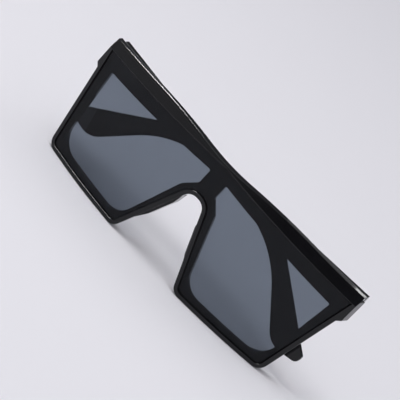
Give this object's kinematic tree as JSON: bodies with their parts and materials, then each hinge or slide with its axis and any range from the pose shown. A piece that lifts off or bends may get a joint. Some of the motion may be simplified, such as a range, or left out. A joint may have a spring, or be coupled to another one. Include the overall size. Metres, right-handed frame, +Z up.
{
  "type": "oversized sunglasses",
  "caption": "Oversized flat-top sunglasses: a tinted shield lens set in a black moulded wraparound front, with temples that fold behind it on screw hinges.",
  "frame": {"origin": "under the middle of the folded glasses, on the plane of the rim feet", "axes": "+X along the front towards the wearer's left, +Y from the front to the back where the temples fold, +Z up"},
  "size_m": [0.1518, 0.034, 0.0562],
  "materials": {
    "frame": "polished black",
    "temple": "polished black",
    "lens": "clear grey tint, polished",
    "hinge": "satin",
    "screw": "polished"
  },
  "bodies": {
    "front": {"front_frame": "frame", "shield_lens": "lens", "left_front_hinge_leaf": "hinge", "right_front_hinge_leaf": "hinge", "left_hinge_screw": "screw", "right_hinge_screw": "screw"},
    "left_temple_arm": {"left_temple": "temple", "left_temple_hinge_leaf": "hinge"},
    "right_temple_arm": {"right_temple": "temple", "right_temple_hinge_leaf": "hinge"}
  },
  "joints": [
    {"name": "left_temple_hinge", "type": "hinge", "parent": "front", "child": "left_temple_arm", "pos_m": [0.0712, 0.00929, 0.0462], "axis": [0, 0, -1], "range_deg": [0, 88.89]},
    {"name": "right_temple_hinge", "type": "hinge", "parent": "front", "child": "right_temple_arm", "pos_m": [-0.0712, 0.00929, 0.0462], "axis": [0, 0, 1], "range_deg": [0, 92.56]}
  ]
}
